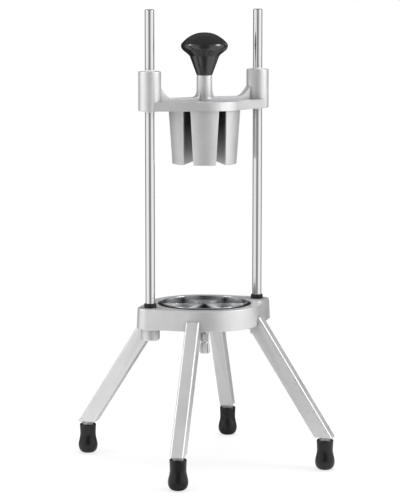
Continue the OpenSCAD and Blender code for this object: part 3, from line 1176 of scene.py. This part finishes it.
@dataclass
class Guides:
    """The two guide rods and their rubber bumpers."""

    reach: float = ROD_REACH
    rod_r: float = 4.7625
    rod_foot: float = 139.4
    rod_top: float = 469.4
    bumper_r: float = 6.3
    bumper_foot: float = 167.1
    bumper_h: float = 4.4

    def rod(self) -> Object:
        """The left rod, with a rounded chamfer at its top.

        Returns:
            The rod, shaded.
        """
        chamfer = [(0.0, -1.3), (-0.15, -0.9), (-0.8, -0.2), (-1.15, 0.0)]
        profile = [(0.0, self.rod_foot), (self.rod_r, self.rod_foot)]
        profile += shifted(self.rod_r, self.rod_top, chamfer) + [(0.0, self.rod_top)]
        return smooth(lathe("rod_model", profile, at=(-self.reach, 0.0), steps=64), 50.0)

    def bumper(self) -> Object:
        """The left bumper, with rounded rims and a lip against the rod.

        Returns:
            The bumper, shaded.
        """
        foot, top, inner = self.bumper_foot, self.bumper_foot + self.bumper_h, self.rod_r - 0.4
        lower = [(-0.5, 0.0), (-0.15, 0.2), (0.0, 0.7)]
        upper = [(0.0, -1.2), (-0.25, -0.5), (-0.8, -0.1)]
        lip = [(0.9, 0.0), (0.45, -0.3), (0.0, -0.3)]
        profile = [(inner, foot)] + shifted(self.bumper_r, foot, lower)
        profile += shifted(self.bumper_r, top, upper) + shifted(inner, top, lip)
        profile += [(inner, foot)]
        return smooth(lathe("bumper_model", profile, at=(-self.reach, 0.0), steps=56), 60.0)

    def build(self, fitter: Fitter) -> None:
        """Builds the left pair, copies it to the right and fits all four pieces.

        Args:
            fitter: what dresses the pieces and puts them on their bodies.
        """
        rod = (self.rod(), "guide_rod", "rod_steel")
        bumper = (self.bumper(), "bumper", "bumper_rubber")
        for model, kind, slot in (rod, bumper):
            for side, shift in (("left", 0.0), ("right", 2 * self.reach)):
                fitter.fit(copy_of(model, f"{kind}_{side}_skin", shift=shift), Body.BASE, slot)
            bpy.data.objects.remove(model)


@dataclass
class BladeRing:
    """The band that holds the blades, with its flange and two studs."""

    inner_r: float = RING_BORE_R
    outer_r: float = 44.6
    flange_r: float = 47.9
    foot: float = WELL_FOOT
    flange_top: float = 151.5
    top: float = 168.2
    stud_reach: float = STUD_REACH
    stud_angle: float = STUD_ANGLE
    stud_r: float = 2.0
    stud_foot: float = 127.0

    def profile(self) -> list[Point]:
        """Outline of the band and its flange, round to where it began.

        Returns:
            The profile in radius and height.
        """
        inner, outer = self.inner_r, self.outer_r
        profile = [(inner, self.foot)]
        profile += shifted(self.flange_r, self.foot, [(-0.3, 0.0), (0.0, 0.3)])
        profile += shifted(self.flange_r, self.flange_top, [(0.0, -0.3), (-0.3, 0.0)])
        profile += shifted(outer, self.flange_top, [(0.6, 0.0), (0.0, 0.6)])
        profile += shifted(outer, self.top, [(0.0, -0.45), (-0.13, -0.13), (-0.45, 0.0)])
        profile += shifted(inner, self.top, [(0.45, 0.0), (0.13, -0.13), (0.0, -0.45)])
        return profile + [(inner, self.foot)]

    def build(self, fitter: Fitter) -> None:
        """Builds the ring and fits it to the base.

        Args:
            fitter: what dresses the pieces and puts them on their bodies.
        """
        r, tip, root = self.stud_r, self.stud_foot, self.foot + 1.0
        stud = [(0.0, tip), (r - 0.5, tip), (r, tip + 0.5), (r, root), (0.0, root)]
        parts = [smooth(lathe("blade_ring_skin", self.profile(), steps=160), 50.0)]
        for angle in (self.stud_angle, self.stud_angle + 180.0):
            at = polar(self.stud_reach, angle)
            parts.append(smooth(lathe("stud", stud, at=at, steps=32)))
        fitter.fit(gather("blade_ring_skin", parts), Body.BASE, "blade_steel")


@dataclass
class ThumbNuts:
    """The two fluted thumb nuts under the ring: a grip above and a wider foot below."""

    reach: float = STUD_REACH
    angle: float = STUD_ANGLE
    top: float = RING_FOOT - 0.2
    height: float = 23.3
    split: float = 12.0
    grip_r: float = 4.5
    flare_r: float = 5.4
    bore_r: float = 2.05
    flutes: int = 16
    flute_depth: float = 0.45
    flute_shape: float = 1.5  # above 1, a flute is narrower than the land beside it
    flute_corners: int = 6

    def axis(self) -> Point:
        """The x and y of the rear nut."""
        return polar(self.reach, self.angle)

    def scalloped(self, r: float, z: float) -> list[Vector]:
        """Corners of a round outline with a hollow at each flute.

        Args:
            r: radius between the hollows.
            z: height of the outline.

        Returns:
            The corners, in order.
        """
        x, y = self.axis()
        count = self.flutes * self.flute_corners
        points = []
        for i in range(count):
            turn = math.tau * i / count
            wave = 0.5 + 0.5 * math.cos(self.flutes * turn)
            dip = self.flute_depth * wave**self.flute_shape
            u, v = (r - dip) * math.cos(turn), (r - dip) * math.sin(turn)
            points.append(Vector((x + u, y + v, z)))
        return points

    def grip(self, levels: Profile) -> Object:
        """A fluted length of the nut, drawn up through levels of radius and height.

        Args:
            levels: radius and height of each level, from the foot up.

        Returns:
            The solid.
        """
        obj = chain("grip", self.scalloped(*levels[0]))
        bpy.ops.mesh.edge_face_add()
        for (r, z), (next_r, next_z) in zip(levels, levels[1:]):
            extrude(up(next_z - z))
            scale, centre = next_r / r, Vector((*self.axis(), next_z)) * MM
            bpy.ops.transform.resize(value=(scale, scale, 1.0), center_override=centre)
        tidy_mesh()
        return obj

    def core(self) -> Object:
        """The plain tube inside the fluted skin.

        Returns:
            The tube, shaded.
        """
        foot, top, neck, bore = self.top - self.height, self.top, self.grip_r - 0.7, self.bore_r
        profile = [(bore, foot + 0.6), (bore + 0.5, foot + 0.2), (neck, foot + 0.2)]
        profile += [(neck, top - 0.4), (neck - 0.4, top), (bore, top), (bore, foot + 0.6)]
        return smooth(lathe("core", profile, at=self.axis(), steps=48), 50.0)

    def model(self) -> Object:
        """The rear nut.

        Returns:
            The nut, shaded.
        """
        foot, top, split = self.top - self.height, self.top, self.top - self.split
        upper = shifted(self.grip_r, split, [(-0.8, 0.6), (-0.25, 0.8), (0.0, 1.4)])
        upper += shifted(self.grip_r, top, [(0.0, -3.4), (-0.25, -2.8), (-0.9, -2.6)])
        flare = [(-1.3, 0.0), (-0.5, 0.25), (-0.1, 0.9), (0.0, 1.8), (-0.1, 3.6)]
        lower = shifted(self.flare_r, foot, flare)
        lower += shifted(self.grip_r, split, [(0.2, -1.6), (0.0, -1.0), (-0.8, -0.6)])
        parts = [self.core()]
        for levels in (upper, lower):
            piece = self.grip(levels)
            hole = drum(self.bore_r, foot - 2, top + 2)
            combine(piece, lathe("bore", hole, at=self.axis(), steps=48), Op.CUT)
            parts.append(smooth(piece, 55.0))
        return gather("thumb_nut_model", parts)

    def build(self, fitter: Fitter) -> None:
        """Builds one nut, copies it to both studs and fits each to its own body.

        Args:
            fitter: what dresses the pieces and puts them on their bodies.
        """
        nut = self.model()
        for side, turn, body in (("rear", 0.0, Body.NUT_REAR), ("front", 180.0, Body.NUT_FRONT)):
            fitter.fit(copy_of(nut, f"thumb_nut_{side}_skin", turn), body, "nut_chrome")
        bpy.data.objects.remove(nut)


@dataclass
class HeadCasting:
    """The sliding head: a plate with two rod bosses, a spine and the centre post."""

    foot: float = PLATE_FOOT
    thickness: float = 9.0
    draft: float = 0.35
    edge_round: float = 0.7
    body_r: float = 40.0
    lobe_r: float = 11.0
    reach: float = ROD_REACH
    boss_r: float = 11.5
    boss_top: float = 407.5
    spine_t: float = 8.0
    spine_top: float = 380.0
    spine_end: float = 7.0
    gusset_h: float = 9.5
    post_r: float = 8.1
    post_top: float = 402.5
    spine_fillet: float = 5.0
    rod_bore_r: float = 5.4
    bushing_r: float = 6.05
    bushing_seat: float = 13.8
    screw_reach: float = 24.0
    hole_r: float = 2.6
    sink_r: float = 4.62

    @property
    def deck_top(self) -> float:
        """Height of the plate's upper face."""
        return self.foot + self.thickness

    def deck(self) -> Object:
        """The plate, cut for four countersunk screws.

        Returns:
            The plate, which the other parts are joined to.
        """
        outline = lobed(self.body_r, self.lobe_r, self.reach, self.foot)
        deck = plate("head_casting_skin", outline, up(self.thickness), self.draft)
        top, hole, rim = self.deck_top, self.hole_r, self.sink_r
        sink = [(0.0, top - 6), (hole, top - 6), (hole, top - 2.1)]
        sink += [(rim, top - 0.05), (rim, top + 1), (0.0, top + 1)]
        for angle in (60.0, 120.0, 240.0, 300.0):
            at = polar(self.screw_reach, angle)
            combine(deck, lathe("sink", sink, at=at, steps=40), Op.CUT)
        return deck

    def boss(self, side: int) -> Object:
        """One rod boss with the seats of its two bushings.

        Args:
            side: -1 for the left rod and 1 for the right.

        Returns:
            The boss, ready to be joined.
        """
        foot, top, seat, bore = self.foot, self.boss_top, self.bushing_r, self.rod_bore_r
        high, low = top - self.bushing_seat, foot + self.bushing_seat
        profile = [(seat, foot)]
        profile += shifted(self.boss_r, foot, [(-0.8, 0.0), (-0.2, 0.3), (0.0, 0.9)])
        profile += shifted(self.boss_r, top, [(0.0, -1.1), (-0.35, -0.35), (-1.1, 0.0)])
        profile += [(seat, top), (seat, high), (bore, high), (bore, low), (seat, low), (seat, foot)]
        return lathe("boss", profile, at=(side * self.reach, 0.0), steps=80)

    def spine(self) -> Object:
        """The rib along the plate, curved up to each boss and to each side of the post.

        Returns:
            The rib, ready to be joined.
        """
        end, foot, top = self.reach - self.spine_end, self.deck_top - 1.0, self.spine_top
        high, r = top + self.gusset_h, self.spine_fillet
        gusset = [(-2.6, 6.3), (-5.6, 3.1), (-8.4, 1.1), (-11.6, 0.0)]
        wall = self.reach - self.boss_r
        right = [(end, foot), (end, high), (wall - 0.4, high)] + shifted(wall, top, gusset)
        right += arc((self.post_r - 0.3 + r, top + r), r, 270, 180, 8)
        left = [(-x, z) for x, z in reversed(right)]
        outline = [Vector((x, -self.spine_t / 2, z)) for x, z in right + left]
        return plate("spine", outline, Vector((0, self.spine_t, 0)))

    def post(self) -> Object:
        """The centre post with a softened top and a fillet where it leaves the plate.

        Returns:
            The post, ready to be joined.
        """
        deck, top = self.deck_top, self.post_top
        fillet = [(3.4, 0.0), (2.4, 0.25), (1.5, 0.75), (0.7, 1.55), (0.2, 2.6), (0.0, 4.0)]
        crown = [(-0.25, -1.0), (-0.5, -0.35), (-1.1, 0.0)]
        profile = [(0.0, deck - 2.0), (self.post_r + 3.4, deck - 2.0)]
        profile += shifted(self.post_r, deck - 0.05, fillet) + [(self.post_r, deck + 8.0)]
        profile += shifted(self.post_r, top, crown) + [(0.0, top)]
        return lathe("post", profile, steps=80)

    def build(self, fitter: Fitter) -> None:
        """Builds the casting and fits it to the head.

        Args:
            fitter: what dresses the pieces and puts them on their bodies.
        """
        head = self.deck()
        combine(head, self.spine(), Op.JOIN)
        round_edges(head, self.edge_round)
        for part in (self.boss(-1), self.boss(1), self.post()):
            combine(head, part, Op.JOIN)
        fitter.fit(smooth(head), Body.HEAD, "cast_aluminium")
        ends = [f"bushing_{side}_{end}" for side in ("left", "right") for end in ("upper", "lower")]
        fitter.keep("push_block_screws", *ends)


@dataclass
class PushBlock:
    """Six tapered fingers under a disc."""

    top: float = PLATE_FOOT
    length: float = FINGER_LENGTH
    top_r: float = FINGER_TOP_R
    tip_r: float = FINGER_TIP_R
    fingers: int = 6
    slot_top: float = 8.1
    slot_tip: float = 11.0
    cup: float = 4.5
    edge_round: float = 0.9

    def finger(self) -> Object:
        """The finger along +X: a turned cone cut by the two slots beside it.

        Returns:
            The finger, shaded.
        """
        tip, root = self.top - self.length, self.top + 1.5
        profile = [(0.0, tip + self.cup), (self.tip_r, tip), (self.top_r, self.top)]
        finger = lathe("finger", profile + [(self.top_r, root), (0.0, root)])
        widen = (self.slot_tip - self.slot_top) / 2 / self.length
        for side in (-1, 1):
            turn = math.radians(180.0 / self.fingers * side)
            across = Vector((math.sin(turn), -math.cos(turn), 0.0)) * side
            slice_off(finger, across * (self.slot_top / 2) + up(self.top), across + up(widen))
        round_edges(finger, self.edge_round, angle=20.0)
        return smooth(finger)

    def build(self, fitter: Fitter) -> None:
        """Builds a finger, copies it round the axis and fits the block to the head.

        Args:
            fitter: what dresses the pieces and puts them on their bodies.
        """
        model = self.finger()
        disc = lathe("disc", drum(self.top_r, self.top - 0.2, self.top + 3.8), steps=128)
        parts = [smooth(disc)]
        for i in range(self.fingers):
            parts.append(copy_of(model, f"finger_{i}", 360.0 / self.fingers * i))
        bpy.data.objects.remove(model)
        fitter.fit(gather("push_block_skin", parts), Body.HEAD, "block_aluminium")


@dataclass
class Knob:
    """The moulded mushroom knob on the post."""

    foot: float = 402.55

    def profile(self) -> list[Point]:
        """Half the knob's outline, from its foot to the middle of its crown.

        Returns:
            The profile in radius and height.
        """
        neck = [(0.0, 0.0), (7.7, 0.0), (8.1, 0.4), (9.9, 5.2), (11.7, 10.0), (13.5, 14.8)]
        rim = [(15.1, 19.0), (16.6, 20.8), (19.6, 23.2), (22.2, 25.4), (23.6, 27.6)]
        cap = [(24.0, 29.6), (23.5, 31.6), (22.1, 33.4), (18.3, 36.9), (13.4, 40.1)]
        crown = [(7.9, 42.3), (3.2, 43.05), (0.0, 43.2)]
        return shifted(0.0, self.foot, neck + through(rim + cap + crown, 4))

    def build(self, fitter: Fitter) -> None:
        """Builds the knob and fits it to the head.

        Args:
            fitter: what dresses the pieces and puts them on their bodies.
        """
        knob = smooth(lathe("knob_skin", self.profile(), steps=112), 60.0)
        fitter.fit(knob, Body.HEAD, "knob_plastic")
        fitter.keep("knob_stud", "knob_insert")


# --- Room ---

WHITE = (1.0, 1.0, 1.0, 1.0)


@dataclass
class Studio:
    """Camera, floor, backdrop and lights. Sizes in metres."""

    eye: Place = (-1.0554, -1.7900, 0.489)
    look: Place = (0.5019, 0.8555, -0.1274)
    lens: float = 146.0
    middle: Place = (0.0, 0.0, 0.25)
    soft: Colour = (0.50, 0.50, 0.50)
    floor_r: float = 6.0
    floor_tone: Colour = (0.86, 0.86, 0.86)
    fade_reach: Point = (0.25, 0.8)  # distances over which the floor turns white
    fade_share: Point = (0.72, 1.0)
    shine_reach: Point = (0.12, 0.3)  # and over which shiny surfaces see the room there
    shine_share: Point = (0.5, 1.0)
    front: Place = (-0.506, -0.8625, 0.0)
    before: Colour = (0.26, 0.26, 0.265)
    behind: Colour = (0.07, 0.07, 0.075)
    side: Colour = (1.0, 1.0, 1.0)
    ceiling: Colour = (0.28, 0.28, 0.28)
    before_edge: Point = (0.96, 0.80)  # cosines of the angle from the front
    behind_edge: Point = (-0.55, -0.15)
    ceiling_edge: Point = (0.3, 0.75)  # sines of the angle above the horizon

    def camera(self) -> None:
        """Makes the camera that looks at the press from the photograph's angle."""
        data = bpy.data.cameras.new("camera")
        data.lens, data.sensor_width, data.sensor_fit = self.lens, 36.0, "AUTO"
        data.clip_start, data.clip_end = 0.05, 50.0
        cam = bpy.data.objects.new("camera", data)
        self.hang(cam, self.eye, Vector(self.look))
        bpy.context.scene.camera = cam

    def hang(self, obj: Object, at: Place, way: Vector) -> None:
        """Puts a camera or a lamp in its place, turned to look a given way.

        Args:
            obj: the camera or lamp.
            at: its place.
            way: the way it looks.
        """
        bpy.context.scene.collection.objects.link(obj)
        obj.location = at
        obj.rotation_mode = "QUATERNION"
        obj.rotation_quaternion = way.to_track_quat("-Z", "Y")

    def room_tone(self, w: Wiring, place: Socket, ceiling: bool) -> Socket:
        """Colour that shiny surfaces see: pale sides, a dim front and a dark back.

        Args:
            w: the wiring of the world's or the floor's tree.
            place: a direction, or a place on the floor.
            ceiling: whether the upward part turns to a ceiling, as for a direction.

        Returns:
            The colour.
        """
        level = w.vector("MULTIPLY", {0: place, 1: (1.0, 1.0, 0.0)})
        level = w.vector("NORMALIZE", {0: level})
        facing = w.vector("DOT_PRODUCT", {0: level, 1: self.front}, "Value")
        sides = w.span(facing, *self.before_edge)
        colour = w.blend(sides, rgba(self.before), rgba(self.side))
        colour = w.blend(w.span(facing, *self.behind_edge), rgba(self.behind), colour)
        if ceiling:
            rise = w.span(w.parts(place)["Z"], *self.ceiling_edge)
            colour = w.blend(rise, colour, rgba(self.ceiling))
        return colour

    def rays(self, w: Wiring) -> tuple[Socket, Socket]:
        """Masks of the camera's own rays and of those that shiny or clear surfaces send.

        Args:
            w: the wiring of the world's or the floor's tree.

        Returns:
            The two masks.
        """
        path = w.node("LightPath").outputs
        mirror = w.maths("MAXIMUM", path["Is Glossy Ray"], path["Is Transmission Ray"])
        return path["Is Camera Ray"], mirror

    def world(self) -> None:
        """A soft even world, white to the camera and a room to shiny surfaces."""
        world = bpy.data.worlds.new("room")
        bpy.context.scene.world = world
        world.use_nodes = True
        w = Wiring(world.node_tree)
        seen, mirror = self.rays(w)
        tone = self.room_tone(w, w.node("TexCoord").outputs["Generated"], True)
        colour = w.blend(mirror, rgba(self.soft), tone)
        background = world.node_tree.nodes["Background"]
        w.put(w.blend(seen, colour, WHITE), background.inputs["Color"])

    def floor(self) -> None:
        """A pale floor that keeps the press's soft shadow and fades to white."""
        deselect_all()
        bpy.ops.mesh.primitive_circle_add(vertices=96, radius=self.floor_r, fill_type="NGON")
        floor = bpy.context.object
        floor.name = "floor"
        material = bpy.data.materials.new("floor")
        material.use_nodes = True
        material.node_tree.nodes.clear()
        w = Wiring(material.node_tree)
        seen, mirror = self.rays(w)
        place = w.place()
        away = w.vector("LENGTH", {0: place}, "Value")
        matt = w.shader("BsdfDiffuse", {"Color": rgba(self.floor_tone)})
        white = w.shader("Emission", {"Color": WHITE, "Strength": 1.0})
        tone = {"Color": self.room_tone(w, place, False), "Strength": 1.0}
        fade = w.times(seen, w.span(away, *self.fade_reach, *self.fade_share))
        shine = w.times(mirror, w.span(away, *self.shine_reach, *self.shine_share))
        look = w.layer(shine, w.layer(fade, matt, white), w.shader("Emission", tone))
        w.node("OutputMaterial", {"Surface": look})
        floor.data.materials.append(material)

    def softbox(self, side: str, at: Place, size: Point, watts: float, mirrored: bool) -> None:
        """An oblong area light that faces the press.

        Args:
            side: the side of the press that it lights.
            at: its place.
            size: its width and height.
            watts: its power.
            mirrored: whether shiny surfaces show it.
        """
        data = bpy.data.lights.new(f"softbox_{side}", "AREA")
        data.shape, data.size, data.size_y, data.energy = "RECTANGLE", *size, watts
        lamp = bpy.data.objects.new(data.name, data)
        lamp.visible_glossy, lamp.visible_camera = mirrored, False
        self.hang(lamp, at, Vector(self.middle) - Vector(at))

    def build(self) -> None:
        """Sets up everything round the press except the camera."""
        bpy.context.scene.view_settings.view_transform = "Standard"
        self.world()
        self.floor()
        self.softbox("right", (1.12, -1.10, 1.1), (0.6, 0.7), 12.5, mirrored=True)
        self.softbox("left", (-1.51, 0.44, 1.1), (0.6, 0.7), 9.0, mirrored=True)
        self.softbox("top", (0.1, 0.1, 1.8), (1.2, 1.2), 26.0, mirrored=False)


# --- Build ---

BASE_PIECES = (RingCasting, Legs, RubberFeet, Guides, BladeRing, ThumbNuts)
HEAD_PIECES = (HeadCasting, PushBlock, Knob)


def main() -> None:
    """Builds the press, piece by piece, in its studio."""
    logging.basicConfig(level=logging.INFO, format="%(name)s: %(message)s")
    studio = Studio()
    studio.camera()
    fitter = Fitter(Finishes())
    for piece in BASE_PIECES + HEAD_PIECES:
        piece().build(fitter)
    fitter.keep("blade_lower", "blade_middle", "blade_upper", "leg_screws", "rod_screws")
    studio.build()


if __name__ == "__main__":
    main()
